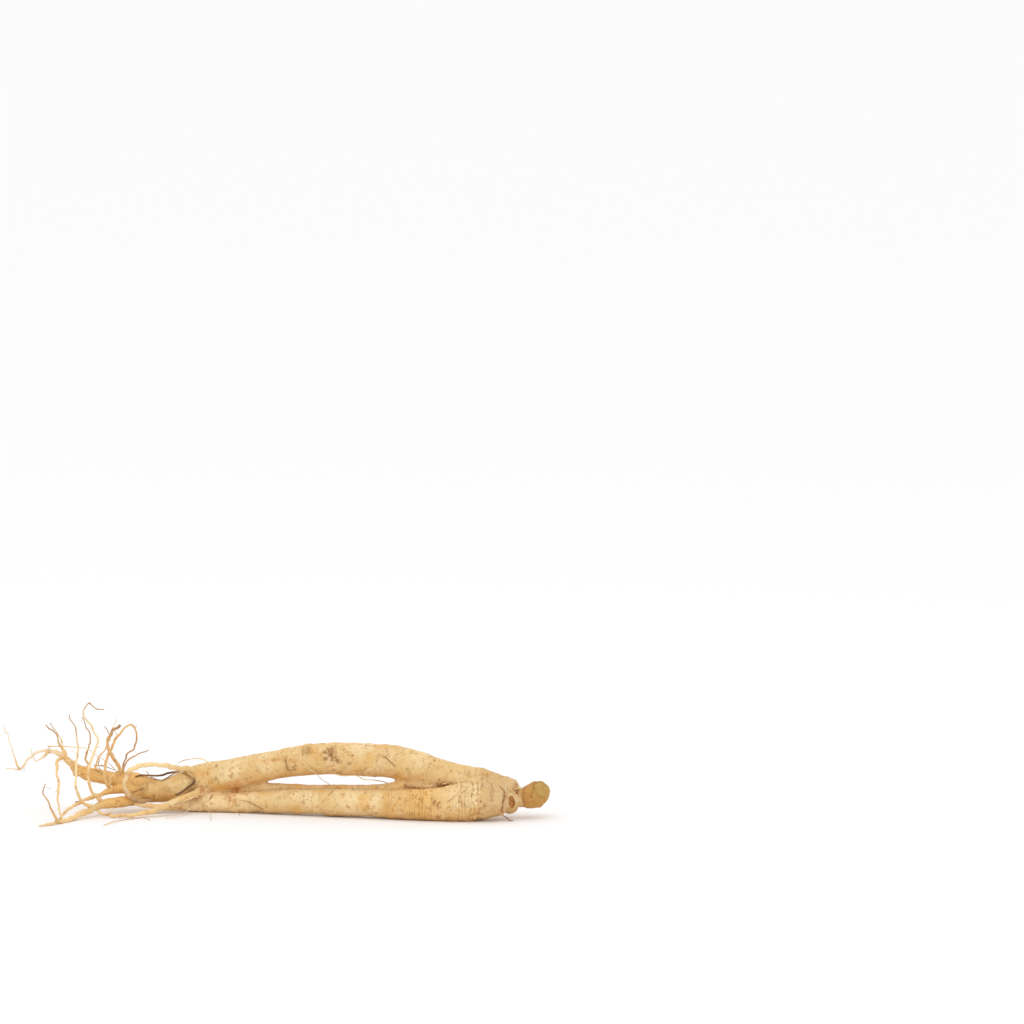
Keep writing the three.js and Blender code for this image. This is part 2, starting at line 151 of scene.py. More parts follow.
# Rootlets: the limb that each grows from, how far along it, the radii at its two ends, and the way it takes
ROOTLETS = [
    ("arched_leg", 0.88, 1.05, 0.75, "cream", [
        (-95.3, 20.6, 15.6), (-98.5, 18.3, 16.7), (-102.5, 16, 17.6), (-107, 14.5, 18.5),
        (-111.5, 13.5, 18.9), (-115, 13, 18.5),
        (-118, 13, 17), (-120, 13, 14), (-120.5, 13.5, 11), (-119.5, 14, 8.2), (-117, 15.5, 5.7),
        (-113, 17.5, 4.4), (-109.5, 20, 4.6)]),
    ("body", 0.24, 1.3, 0.4, "tan", [
        (-8.5, 8, 5.8), (-11, 13, 4.8), (-15, 19, 2.8), (-20, 24, 1.3), (-27, 28, 0.7), (-36, 31, 0.6)]),
    ("lower_fork", 0.48, 0.7, 0.18, "cream", [
        (-134.5, 6, 4.6), (-137, 4.5, 8), (-138.5, 4, 12.5), (-138.2, 5, 19), (-138, 6, 23), (-137.6, 7, 27),
        (-138, 8, 30.5), (-139, 9, 34.5), (-141, 9.5, 37), (-141.4, 10, 38.5)]),
    ("lower_fork", 0.34, 0.7, 0.18, "cream", [
        (-130.5, 9, 7), (-133, 7.5, 10.5), (-134, 7, 13.5), (-134, 7, 16.5), (-133, 8, 21), (-132, 9, 24),
        (-130.4, 10, 28.5), (-131.6, 10.5, 32), (-134, 11, 36), (-136, 11.5, 38), (-135.5, 12.5, 40.5),
        (-134, 13.5, 42.5), (-131, 15, 40), (-128, 16, 39.5)]),
    ("upper_fork", 0.4, 0.7, 0.2, "tan", [
        (-139, 17, 14.5), (-140.5, 13, 18), (-142.3, 12, 22), (-143.7, 12, 25), (-145, 11, 28),
        (-146.5, 10, 31.5), (-148.5, 9, 33.2), (-149.7, 8, 35)]),
    ("upper_fork", 0.46, 0.5, 0.15, "cream", [
        (-141.5, 19.5, 19.3), (-143, 17, 24), (-144, 16, 27), (-145.2, 15, 30), (-147, 14, 33),
        (-148.5, 13, 35)]),
    ("upper_fork", 0.38, 0.45, 0.15, "brown", [
        (-134.3, 25, 17.5), (-135.5, 26, 19.2), (-134.5, 26.5, 23), (-133.5, 26, 27.5), (-135, 25, 31),
        (-136.5, 24, 35.3)]),
    ("upper_fork", 0.25, 0.7, 0.25, "tan", [
        (-126.5, 16.5, 10.6), (-128, 14.5, 13.5), (-127.6, 14.5, 18.5), (-126, 14, 24), (-124, 14.5, 28),
        (-121, 15.5, 31.6), (-118.5, 16.5, 33.6), (-117, 17.5, 33), (-116, 18.5, 30.5), (-116, 20, 27),
        (-117, 21, 24.5), (-119, 22, 22.3), (-120.7, 23, 19), (-121.5, 23.5, 16)]),
    ("upper_fork", 0.22, 0.85, 0.5, "tan", [
        (-122.5, 20, 16.5), (-124.5, 17, 20.5), (-126.2, 13.5, 24.5), (-126.5, 10.5, 29), (-124.5, 8.5, 32.5),
        (-122, 7, 35)]),
    ("upper_fork", 0.2, 0.45, 0.15, "brown", [
        (-121, 21, 17), (-119, 20.5, 19.5), (-117.5, 20, 21), (-114, 18.5, 22.6), (-111.5, 17.5, 24)]),
    ("upper_fork", 0.34, 0.5, 0.15, "tan", [
        (-131.5, 29, 15), (-131, 33, 18.5), (-128, 35.5, 22), (-126.5, 36.5, 26), (-128.5, 37, 30)]),
    ("upper_fork", 0.51, 0.7, 0.3, "straw", [
        (-144.3, 20, 20.6), (-145.6, 17, 19.5), (-146, 14, 17.4), (-145.5, 10, 14), (-145, 6, 10.8),
        (-145, 1, 6.6), (-144.5, -2, 4), (-143.5, -5.5, 1.4)]),
    ("lower_fork", 0.8, 0.55, 0.15, "brown", [
        (-145.5, -10, 2), (-147, -10.5, 4.6), (-148, -10.5, 7.4), (-149, -10, 9.6), (-150.5, -9.5, 12.5),
        (-149.5, -9, 15)]),
    ("upper_fork", 0.93, 0.4, 0.15, "pale", [
        (-162, 27.5, 18.5), (-163.6, 28, 23.5), (-164.6, 28.5, 27.5), (-166.5, 29, 31.5)]),
    ("upper_fork", 0.7, 0.5, 0.15, "pale", [
        (-151, 24, 20.6), (-154, 23, 19), (-155.2, 22, 21), (-156, 21, 24)]),
    ("upper_fork", 0.12, 0.7, 0.25, "tan", [
        (-114.5, 27, 10.5), (-119, 32, 9), (-126, 35.5, 6), (-133, 38, 2.6), (-140, 39, 0.8)]),
    ("leg_end", 0.45, 0.7, 0.25, "cream", [
        (-101, 28, 7.5), (-106, 32, 5), (-113, 34.5, 2.6), (-121, 35, 0.9), (-128, 33, 0.6)]),
    ("arched_leg", 0.84, 0.4, 0.12, "cream", [
        (-87.5, 18.5, 17.6), (-89.5, 17, 19.6), (-92, 16.5, 20.9), (-94.5, 16, 21), (-97.5, 15.5, 20.5),
        (-100.5, 15, 19.4)]),
]

# The scar of an older stem, a dish pressed into the crown: its middle and its three radii
SCAR_DISH = ((25.1, -1.1, 7.4), (1.35, 1.3, 2.6))

# Brown and orange patches and root scars as the camera sees them: (right, up), reach, brown stain, orange
# stain, depth, number of spots
SCARS = [
    ((-51.5, 25.5), 2.4, 0.7, 0, 0.1, 9),
    ((-43.5, 25), 3.2, 0.95, 0, 0.22, 22),
    ((-36, 21), 0.9, 1, 0, 0.3, 1),
    ((-56.5, 19.3), 1.2, 0.8, 0, 0.15, 4),
    ((-70, 18.5), 1.1, 0.6, 0, 0.1, 2),
    ((-59.5, 23.5), 0.6, 0.8, 0, 0.1, 1),
    ((-25.5, 23), 1.2, 0.5, 0, 0.1, 3),
    ((-14, 18.5), 1.6, 0.5, 0, 0.1, 4),
    ((-8.5, 22), 1.3, 0.45, 0, 0.05, 3),
    ((-2, 20.5), 1.4, 0.4, 0, 0.05, 3),
    ((-14, 10.5), 1, 0.7, 0, 0.15, 2),
    ((-11.5, 8), 1.5, 0.75, 0, 0.1, 4),
    ((-10.5, 5.5), 1.8, 0.15, 0.7, 0.08, 4),
    ((-3.2, 6.2), 1.9, 0.75, 0.2, 0.15, 9),
    ((-2.6, 1.2), 0.8, 0.8, 0.3, 0.1, 1),
    ((-19, 5.5), 0.8, 0.7, 0, 0.1, 2),
    ((8, 5.5), 1.6, 0.5, 0, 0.1, 4),
    ((18.5, 4), 1, 0.6, 0, 0.1, 2),
    ((-62, 8), 1.4, 0.55, 0, 0.1, 3),
    ((-45.5, 7.5), 1.2, 0.4, 0, 0.05, 3),
    ((-30, 10.5), 0.7, 0.75, 0, 0.12, 1),
    ((-33, 11.5), 0.9, 0.45, 0, 0.1, 2),
    ((-75, 9.5), 1.3, 0.15, 0.7, 0.1, 3),
    ((-78.5, 6), 1.2, 0.6, 0, 0.1, 3),
    ((-91, 17.2), 1.2, 0.7, 0, 0.1, 3),
    ((-86.5, 20.4), 1, 0.75, 0, 0.1, 2),
    ((-9, 8), 1.3, 0.25, 0.9, 0.05, 6),
    ((-10, 2.9), 1.1, 0.1, 0.8, 0.05, 4),
    ((-7.2, 10.6), 0.5, 0.9, 0, 0.1, 1),
    ((9.6, 4.4), 1.2, 0.4, 0.6, 0.08, 4),
    ((11, 2.4), 0.8, 0.4, 0.5, 0.05, 2),
    ((-78.4, 11.2), 0.7, 1, 0, 0.15, 1),
    ((-86.3, 15), 0.6, 0.95, 0, 0.12, 1),
    ((-73.3, 15.8), 0.5, 0.8, 0, 0.1, 1),
    ((-61.6, 15.9), 0.7, 0.8, 0, 0.1, 1),
    ((-56.4, 24.2), 0.7, 0.7, 0, 0.1, 1),
    ((-38, 9.5), 0.8, 0.6, 0, 0.1, 1),
    ((-91.8, 11.2), 2, 0.5, 0.7, 0.05, 8),
    ((-100, 4), 1.6, 0.3, 0.7, 0.05, 5),
    ((-106, 8.5), 4, 0.25, 0.35, 0.06, 14),
    ((-114, 11.3), 0.9, 0.9, 0, 0.15, 1),
    ((22.3, 10), 1.3, 0.9, 0, 0.15, 6),
    ((-80.5, 7.4), 2.2, 0.3, 0.8, 0.08, 8),
    ((30.4, 6.8), 1, 0.3, 0.8, 0.03, 3),
    ((29.6, 6.6), 0.8, 0.5, 0, 0.05, 1),
    ((-1.5, 12), 2.2, 0, 0.35, 0, 6),
    ((-78, 12.6), 3, 0.1, 0.6, 0, 8),
    ((22.6, 2.6), 1.4, 0.2, 0.8, 0, 4),
]

# Creases and streaks that the camera sees, each along a line: (right, up) points, half width, brown stain,
# orange stain, depth
CREASES = [
    ([(21.6, 12.6), (22.3, 10.6), (22.4, 9.2), (21.8, 7.2), (21.5, 5.4), (21.3, 3.4)], 0.5, 1, 0, 0.55),
    ([(23.2, 9), (23.4, 7.4), (24.2, 5.2)], 0.25, 0.2, 0.7, 0.15),
    ([(17.4, 12.4), (18.2, 9.8), (17.2, 7.4)], 0.3, 0.3, 0, 0.2),
    ([(10.2, 14.2), (10.6, 11.6), (10, 9.4)], 0.3, 0.55, 0.3, 0.45),
    ([(12, 14.6), (12.4, 12), (12, 9.8)], 0.3, 0.55, 0.3, 0.45),
    ([(13.8, 15.2), (14, 13.2), (13.4, 11.6)], 0.3, 0.5, 0.3, 0.4),
    ([(17.2, 14), (17.8, 12.4), (17, 10.8)], 0.35, 0.4, 0.2, 0.35),
    ([(8.2, 14.6), (7.4, 13), (7.8, 12.2)], 0.4, 0.7, 0, 0.4),
    ([(15.6, 16.2), (16.2, 14.2)], 0.4, 0.3, 0.2, 0.4),
    ([(11.8, 19), (11.2, 16.8)], 0.35, 0.2, 0.2, 0.3),
    ([(6, 17.6), (8.2, 17), (9.6, 16.2)], 0.3, 0.3, 0, 0.2),
    # Painted shade along the crevice where the body meets the arched leg, over a shallow groove
    ([(-15, 12.6), (-11, 12.2), (-7.2, 12), (-2.1, 12.5), (0.8, 13.1)], 0.9, 1, 0, 0.5),
    ([(0.8, 13.1), (4, 14), (7, 14.2)], 0.3, 0.5, 0.2, 0.3),
    ([(-93.6, 20.4), (-95.6, 17.4)], 0.4, 0.5, 0, 0.2),
    ([(-117.6, 10.1), (-115.5, 10.9), (-113.5, 11.5)], 0.35, 0.9, 0.1, 0.2),
    ([(-68.5, 22.2), (-66, 22.6), (-62, 22.6), (-58, 22.2), (-56, 21.9)], 0.7, 0.1, 0.5, 0.04),
    ([(33.2, 13.6), (33.1, 12), (32.6, 10.4), (31.9, 8.6)], 0.28, 0.8, 0.2, 0.25),
    ([(33.4, 13.9), (34.7, 14.3), (36.4, 13.9), (37.8, 13)], 0.35, 0.8, 0.2, 0.12),
    ([(33.4, 10.8), (34.4, 9.6), (34.8, 8.8)], 0.25, 0.3, 0.9, 0.15),
    ([(34.8, 8.6), (37, 8.5), (39, 8.7)], 0.25, 0.8, 0, 0.2),
]

# Hair roots as the camera sees them: (right, up) points, radius, tone, and where they lie: on the root or the
# floor, across a gap in the root, or in the air at a given Y
HAIRS = [
    ([(-97.3, 18), (-94.7, 16), (-94.5, 14), (-96.5, 12), (-99, 10.2), (-101.5, 9.2)],
     0.52, "dark bark", "across"),
    ([(-95.5, 18), (-97.1, 18.3), (-100.1, 18.2), (-104.1, 17.3), (-106.1, 16.7), (-110.1, 16.4),
      (-114.5, 16.6), (-116.5, 16.1)], 0.5, "dark bark", "across"),
    ([(-97.5, 17.6), (-98.8, 17.6), (-102.1, 17.2), (-105.2, 15.3), (-107.5, 14.8), (-110.5, 15.8)],
     0.28, "bark", "across"),
    ([(-112.5, 18.2), (-110.3, 15.6)], 0.2, "bark", 17.5),
    ([(-88.5, 7.6), (-90.6, 6.3), (-94.2, 5.4), (-96.2, 4.1), (-98.1, 2.4), (-101.4, 1), (-104.5, 0.5)],
     0.2, "pale", "laid"),
    ([(-87.4, 9.6), (-88.5, 7.6)], 0.24, "bark", "across"),
    ([(-90.9, 9.4), (-92.6, 9.4), (-97.1, 7.4), (-101.4, 5.6)], 0.25, "cream", "across"),
    ([(-79.7, 5.5), (-81.8, 3.9)], 0.16, "tan", "laid"),
    ([(-91, 5.4), (-88.9, 3.7), (-87.8, 1.6), (-87.8, -0.2)], 0.16, "tan", "laid"),
    ([(-79.2, 7.7), (-79.2, 5.4), (-78.1, 3), (-77, 1.4)], 0.18, "tan", "laid"),
    ([(-77.7, 7.4), (-74.6, 6.9), (-71.3, 5.4), (-68.3, 3.7)], 0.2, "bark", "laid"),
    ([(-45.2, 28.8), (-48.8, 28.4), (-52.5, 28.2), (-54, 27.2), (-54.2, 23.2), (-51.8, 20.2), (-48.8, 17.5),
      (-46, 14.8), (-42.5, 12.5), (-42.5, 10.7), (-44, 9.3)], 0.2, "cream", "across"),
    ([(-61.3, 24.4), (-60.1, 22.8), (-59.6, 20.6), (-59, 18.9), (-57, 18.6)], 0.2, "bark", "laid"),
    ([(-42.5, 18.2), (-39.8, 16.8), (-33.2, 16.5), (-30.4, 15.2), (-23.3, 14.4), (-20.5, 13.2)],
     0.28, "cream", 11.5),
    ([(-24.9, 25.1), (-21.8, 23), (-18.8, 20)], 0.22, "bark", "laid"),
    ([(3, 16.7), (4.8, 14.8), (5.3, 13), (4.4, 10.7), (2.4, 8.1), (0.8, 7)], 0.28, "cream", "across"),
    ([(-1.3, 13.5), (2.1, 14.2)], 0.22, "cream", "laid"),
    ([(5.2, 13.8), (7, 13.6), (7.6, 12.6), (7.1, 11.3), (6.2, 10.2)], 0.27, "cream", "laid"),
    ([(21.5, 1.8), (23.1, 0.9), (24.4, -0.2), (25.4, -0.2)], 0.24, "bark", "laid"),
    ([(25.6, 11.4), (27, 11.8), (28.5, 12.2), (30.9, 12.5)], 0.22, "cream", 5.2),
    ([(25.6, 8.8), (26.3, 7.4), (27, 5.6), (27.4, 4.6)], 0.22, "cream", "across"),
    ([(26.4, 9.6), (26.9, 8.4), (27.6, 7.2)], 0.18, "pale", "across"),
    ([(23.3, 6.6), (23.8, 5.4), (24.8, 4.4)], 0.2, "cream", "across"),
    ([(-149.7, 27.4), (-141, 27.2), (-134.4, 26.3), (-130.5, 23.6), (-127, 21.2), (-124, 18.5), (-123, 17)],
     0.26, "pale", 25),
    ([(-126.8, 14.8), (-124.9, 16.7), (-123.4, 18.2)], 0.3, "cream", 19),
    ([(-133.5, 19.1), (-128.3, 17.3)], 0.22, "bark", 20.5),
    ([(-130.9, 23.4), (-130.1, 22.3), (-130.6, 21.2), (-130.3, 19.7), (-129.5, 18.3)], 0.18, "bark", 22),
    ([(-132.4, 20.4), (-128.3, 19.9), (-124.2, 18.3)], 0.2, "grey", 23),
    ([(-127.7, -1.7), (-124.2, -0.4), (-117.8, 0.5), (-112.9, 0.9), (-110.6, -0.1)], 0.2, "brown", "laid"),
]

# Colours of the skin, the rootlets and the floor, as display values
TONES = {
    "light skin": (236, 208, 156),
    "skin": (224, 188, 128),
    "warm skin": (224, 174, 98),
    "golden skin": (234, 184, 106),
    "grey skin": (201, 166, 115),
    # underside_shade: painted shade, mixed into the skin where it faces down
    "underside_shade": (200, 142, 74),
    "fleck": (178, 114, 50),
    "old stem": (192, 143, 73),
    "broken stem": (187, 149, 78),
    "orange": (208, 136, 50),
    # stain: real stains and specks, and also the painted crevice shade under the arched leg
    "stain": (138, 80, 32),
    # crease: drawn in the ring grooves and wrinkles, and as painted shade where limbs meet
    "crease": (138, 88, 44),
    "cream": (244, 216, 164),
    "straw": (238, 202, 144),
    "tan": (230, 188, 128),
    "brown": (206, 160, 104),
    "bark": (142, 100, 64),
    "dark bark": (108, 76, 48),
    "grey": (128, 116, 108),
    "pale": (243, 224, 192),
    "node": (196, 132, 66),
    "floor": (246, 245, 245),
}


def linear(tone):
    """A display colour as the linear colour that shaders take."""
    shares = np.array(TONES[tone]) / 255
    return np.where(shares < 0.04045, shares / 12.92, ((shares + 0.055) / 1.055) ** 2.4)


def smoothstep(values, low, high):
    share = np.clip((values - low) / (high - low), 0, 1)
    return share * share * (3 - 2 * share)


def wobble(points, wavelength, seed):
    """A smooth random field of about unit strength: sine waves in random directions."""
    draw = np.random.default_rng(seed)
    waves = draw.normal(size=(14, 3))
    waves /= np.linalg.norm(waves, axis=1)[:, None]
    waves *= 2 * math.pi / wavelength * draw.uniform(0.6, 1.5, (14, 1))
    return np.sin(points @ waves.T + draw.uniform(0, 2 * math.pi, 14)).sum(1) / math.sqrt(7)


def spline(stations, step):
    """Stations every step along a centripetal curve through these. Columns past x, y and z go along."""
    knots = np.array(stations, float)
    knots = np.vstack([2 * knots[0] - knots[1], knots, 2 * knots[-1] - knots[-2]])
    share = np.linspace(0, 1, 24, endpoint=False)[:, None]
    spans = []
    for a, b, c, d in zip(knots, knots[1:], knots[2:], knots[3:]):
        before, here, after = (math.sqrt(math.dist(p[:3], q[:3])) for p, q in ((a, b), (b, c), (c, d)))
        leave = ((b - a) / before - (c - a) / (before + here) + (c - b) / here) * here
        arrive = ((c - b) / here - (d - b) / (here + after) + (d - c) / after) * here
        cubic = 2 * (b - c) + leave + arrive
        square = 3 * (c - b) - 2 * leave - arrive
        spans.append(b + share * (leave + share * (square + share * cubic)))
    dense = np.vstack([*spans, knots[-2:-1]])
    along = np.append(0, np.cumsum(np.linalg.norm(np.diff(dense[:, :3], axis=0), axis=1)))
    places = np.linspace(0, along[-1], max(3, round(along[-1] / step)))
    return np.column_stack([np.interp(places, along, column) for column in dense.T])


def frames(path):
    """Two directions across a path at each of its points, carried along it without twist."""
    ahead = np.gradient(path, axis=0)
    ahead /= np.linalg.norm(ahead, axis=1)[:, None]
    side = np.cross(ahead[0], (0.1, 0.2, 1))
    sides = []
    for way in ahead:
        side = side - way * (side @ way)
        side = side / np.linalg.norm(side)
        sides.append(side)
    sides = np.array(sides)
    return sides, np.cross(ahead, sides)


def tube(path, radii, sides):
    """A closed tube: its vertices, its faces and the place along the path of each vertex."""
    across, other = frames(path)
    turn = np.linspace(0, 2 * math.pi, sides, endpoint=False)[:, None]
    spokes = across[:, None] * np.cos(turn) + other[:, None] * np.sin(turn)
    rings = path[:, None] + radii[:, None, None] * spokes
    vertices = np.vstack([rings.reshape(-1, 3), path[:1], path[-1:]])
    places = np.append(np.repeat(np.arange(len(path)), sides), [0, len(path) - 1])
    first, last = len(vertices) - 2, len(vertices) - 1
    faces = []
    for ring in range(len(path) - 1):
        for side in range(sides):
            a, b = ring * sides + side, ring * sides + (side + 1) % sides
            faces.append((a, b, b + sides, a + sides))
    for side in range(sides):
        after = (side + 1) % sides
        faces.append((first, after, side))
        faces.append((last, last - 1 - sides + side, last - 1 - sides + after))
    return vertices, faces, places


def joined(parts):
    """Several (vertices, faces) as one."""
    vertices, faces = [], []
    count = 0
    for points, polygons in parts:
        vertices.append(points)
        faces.extend(tuple(corner + count for corner in face) for face in polygons)
        count += len(points)
    return np.vstack(vertices), faces


def mesh_object(name, vertices, faces):
    mesh = bpy.data.meshes.new(name)
    mesh.from_pydata(vertices * MM, [], faces)
    mesh.polygons.foreach_set("use_smooth", np.ones(len(mesh.polygons), bool))
    made = bpy.data.objects.new(name, mesh)
    bpy.context.scene.collection.objects.link(made)
    return made


def points_of(mesh):
    points = np.empty(len(mesh.vertices) * 3)
    mesh.vertices.foreach_get("co", points)
    return points.reshape(-1, 3) / MM


def move_to(mesh, points):
    mesh.vertices.foreach_set("co", (points * MM).ravel())
    mesh.update()


def normals_of(mesh):
    normals = np.empty(len(mesh.vertices) * 3)
    mesh.vertex_normals.foreach_get("vector", normals)
    return normals.reshape(-1, 3)


def paint(mesh, name, colours):
    """A colour for each vertex, which materials read by its name."""
    layer = mesh.color_attributes.new(name, "FLOAT_COLOR", "POINT")
    opaque = np.column_stack([colours, np.ones(len(colours))])
    layer.data.foreach_set("color", opaque.ravel())


# The skin


PATHS = {name: spline(stations, AXIS_STEP) for name, stations in LIMBS.items()}


def thick_end(path):
    """How many points of a limb's path, from its start, are on its thick stretch."""
    slim = np.flatnonzero(path[:, 3] < SLIM_RADIUS)
    slim = slim[slim > len(path) / 2]
    return slim[0] if len(slim) else len(path)


def bare_skin():
    """One closed skin round every thick limb."""
    parts = []
    for path in PATHS.values():
        thick = path[: thick_end(path)]
        parts.append(tube(thick[:, :3], thick[:, 3], LIMB_SIDES)[:2])
    raw = mesh_object("raw_limbs", *joined(parts))
    remesh = raw.modifiers.new("one_skin", "REMESH")
    remesh.mode = "VOXEL"
    remesh.voxel_size = VOXEL * MM
    graph = bpy.context.evaluated_depsgraph_get()
    mesh = bpy.data.meshes.new_from_object(raw.evaluated_get(graph))
    bpy.data.objects.remove(raw)
    refine_rings(mesh)
    return mesh


def refine_rings(mesh):
    """Halves the mesh's edges where the rings are, on the body alone."""
    fine = bmesh.new()
    fine.from_mesh(mesh)
    body = PATHS["body"]
    low, high = RING_START * MM, RING_END * MM
    edges = []
    for edge in fine.edges:
        place = (edge.verts[0].co + edge.verts[1].co) / 2
        if low < place.x < high:
            centre = [np.interp(-place.x / MM, -body[:, 0], body[:, axis]) for axis in (1, 2, 3)]
            if math.hypot(place.y / MM - centre[0], place.z / MM - centre[1]) < centre[2] + 0.6:
                edges.append(edge)
    bmesh.ops.subdivide_edges(fine, edges=edges, cuts=1, use_grid_fill=True)
    fine.to_mesh(mesh)
    fine.free()


def edges_of(mesh):
    edges = np.empty(len(mesh.edges) * 2, np.int32)
    mesh.edges.foreach_get("vertices", edges)
    return edges.reshape(-1, 2)


def relaxed(points, edges, strength, rounds):
    """Points moved towards the middle of their neighbours."""
    count = np.bincount(edges.ravel(), minlength=len(points))[:, None]
    for _ in range(rounds):
        total = np.zeros_like(points)
        for axis in range(3):
            total[:, axis] += np.bincount(edges[:, 0], points[edges[:, 1], axis], len(points))
            total[:, axis] += np.bincount(edges[:, 1], points[edges[:, 0], axis], len(points))
        points = points + strength[:, None] * (total / count - points)
    return points


def limb_places(points):
    """For each point, its limb, the way along that limb, the angle round it, and the gap to the next limb."""
    depths, alongs, angles = [], [], []
    for path in PATHS.values():
        across, other = frames(path[:, :3])
        squares = (points**2).sum(1)[:, None] + (path[:, :3] ** 2).sum(1) - 2 * points @ path[:, :3].T
        gaps = np.sqrt(np.maximum(squares, 0)) - path[:, 3]
        nearest = gaps.argmin(1)
        spoke = points - path[nearest, :3]
        depths.append(gaps[np.arange(len(points)), nearest])
        alongs.append(nearest * AXIS_STEP)
        angles.append(np.arctan2((spoke * other[nearest]).sum(1), (spoke * across[nearest]).sum(1)))
    depths = np.array(depths)
    limb = depths.argmin(0)
    every = np.arange(len(points))
    ordered = np.sort(depths, axis=0)
    return limb, np.array(alongs)[limb, every], np.array(angles)[limb, every], ordered[1] - ordered[0]


def on_limb(limb, *names):
    """Which points are on one of the named limbs."""
    return np.isin(limb, [list(PATHS).index(name) for name in names])


def rings(points, on_body):
    """How deep in a ring's groove each point of the body is, from 0 to 1."""
    near_crown = smoothstep(points[:, 0], 2, 12)
    x = points[:, 0] + 0.4 * wobble(points, 22, 1) + (0.07 + 0.3 * near_crown) * wobble(points, 5, 2)
    grid = np.linspace(RING_START - 3, RING_END + 3, 600)
    pitch = np.interp(grid, *zip(*RING_PITCHES))
    phase = np.interp(x, grid, np.cumsum(np.gradient(grid) / pitch))
    number = np.floor(phase)
    groove = np.exp(-(((phase - number - 0.5) / 0.2) ** 2))
    own_depth = 0.65 + 0.35 * np.sin(12.9898 * number)
    broken = smoothstep(wobble(points * (2, 0.5, 0.5), 7, 3), -1.4, 0.6)
    ends = smoothstep(points[:, 0], RING_START, RING_START + RING_FADE)
    ends *= 1 - smoothstep(points[:, 0], RING_END - RING_FADE, RING_END)
    return groove * own_depth * broken * ends * on_body * (1 - 0.4 * near_crown)


def wrinkles(points, along):
    """How deep in a faint wrinkle across its limb each point is, from 0 to 1."""
    phase = along / 1.7 + 0.5 * wobble(points, 9, 41)
    return np.exp(-(((phase % 1 - 0.5) / 0.16) ** 2)) * smoothstep(wobble(points, 5, 42), 0.5, 1.8)


def seen_from(place):
    """The ray from the camera through a (right, up) place, as a start and a direction in metres."""
    start = RIGHT * place[0] + UP * place[1] - AHEAD * RAY_START
    return Vector(start * MM), Vector(AHEAD)


def onto_root(place, tree, floor=True):
    """How far along the camera's ray the root is, or the floor, in millimetres from the ray's start."""
    start, ahead = seen_from(place)
    reach = tree.ray_cast(start, ahead)[3]
    if reach is not None:
        return reach / MM
    return start.z / -ahead.z / MM if floor else math.nan


def seen_point(place, reach):
    return RIGHT * place[0] + UP * place[1] + AHEAD * (reach - RAY_START)


def near_line(points, line):
    """The distance of each point from a line through several points."""
    nearest = np.full(len(points), np.inf)
    for start, end in zip(line, line[1:]):
        way = end - start
        share = np.clip((points - start) @ way / max(way @ way, 1e-9), 0, 1)
        nearest = np.minimum(nearest, np.linalg.norm(points - start - share[:, None] * way, axis=1))
    return nearest


def scar_and_crevice_shade_marks(points, tree):
    """Brown stain, orange stain and depth of the listed patches and creases; one crease is painted crevice
    shade.
    """
    draw = np.random.default_rng(11)
    stain, orange, depth = np.zeros((3, len(points)))
    ragged = 1 + 0.3 * wobble(points, 1.1, 21)
    for place, reach, brown, yellow, deep, spots in SCARS:
        for _ in range(spots):
            offset = draw.normal(0, 0.45, 2) * reach if spots > 1 else (0, 0)
            size = reach * (draw.uniform(0.18, 0.42) if spots > 1 else 0.7)
            where = (place[0] + offset[0], place[1] + offset[1])
            hit = onto_root(where, tree, floor=False)
            if not math.isnan(hit):
                gap = np.linalg.norm(points - seen_point(where, hit), axis=1)
                mark = np.exp(-((gap / (size * ragged)) ** 2))
                stain = np.maximum(stain, brown * mark)
                orange = np.maximum(orange, yellow * mark)
                depth = np.maximum(depth, deep * mark)
    # Among these lines is the painted shade of the crevice between the body and the arched leg
    for line, width, brown, yellow, deep in CREASES:
        hits = [(where, onto_root(where, tree, floor=False)) for where in line]
        way = [seen_point(where, hit) for where, hit in hits if not math.isnan(hit)]
        mark = np.exp(-((near_line(points, way) / (width * ragged)) ** 2))
        stain = np.maximum(stain, brown * mark)
        orange = np.maximum(orange, yellow * mark)
        depth = np.maximum(depth, deep * mark)
    return stain, orange, depth


def lenticels(points, limb, along, angle):
    """Stain of the short brown marks that lie across the limbs, placed by a seeded draw."""
    draw = np.random.default_rng(5)
    stain = np.zeros(len(points))
    for number, path in enumerate(PATHS.values()):
        length = len(path) * AXIS_STEP
        own = np.flatnonzero(limb == number)
        radius = path[np.minimum((along[own] / AXIS_STEP).astype(int), len(path) - 1), 3]
        for _ in range(int(length * path[:, 3].mean() * 0.24)):
            middle, turn = draw.uniform(0, length), draw.uniform(-math.pi, math.pi)
            width, long = draw.uniform(0.22, 0.42), draw.uniform(0.35, 1.6)
            strength = draw.uniform(0.15, 0.85)
            round_gap = (angle[own] - turn + math.pi) % (2 * math.pi) - math.pi
            mark = np.exp(-(((along[own] - middle) / width) ** 2) - (round_gap * radius / long) ** 2)
            stain[own] = np.maximum(stain[own], strength * mark)
    return stain


def pressed(points):
    """Points inside the scar's dish pushed out to its wall, and how far each was pushed."""
    centre, radii = SCAR_DISH
    spoke = (points - centre) / radii
    reach = np.linalg.norm(spoke, axis=1)
    inside = reach < 1
    moved = points.copy()
    moved[inside] = centre + spoke[inside] / reach[inside, None] * radii
    return moved, np.linalg.norm(moved - points, axis=1)


def broken_face(points, stub):
    """How far inside the stub's broken face each point is, above and right of a ragged lip."""
    right = smoothstep(points[:, 0] - 0.28 * (points[:, 2] - 8.5) + 0.2 * wobble(points, 2.2, 51), 31.6, 32.4)
    above = smoothstep(points[:, 2] + 0.15 * wobble(points, 2, 52), 8.1, 8.7)
    return stub * right * above


def tree_of(mesh):
    """A mesh as what rays can be cast at."""
    return BVHTree.FromPolygons(points_of(mesh) * MM, [tuple(face.vertices) for face in mesh.polygons])


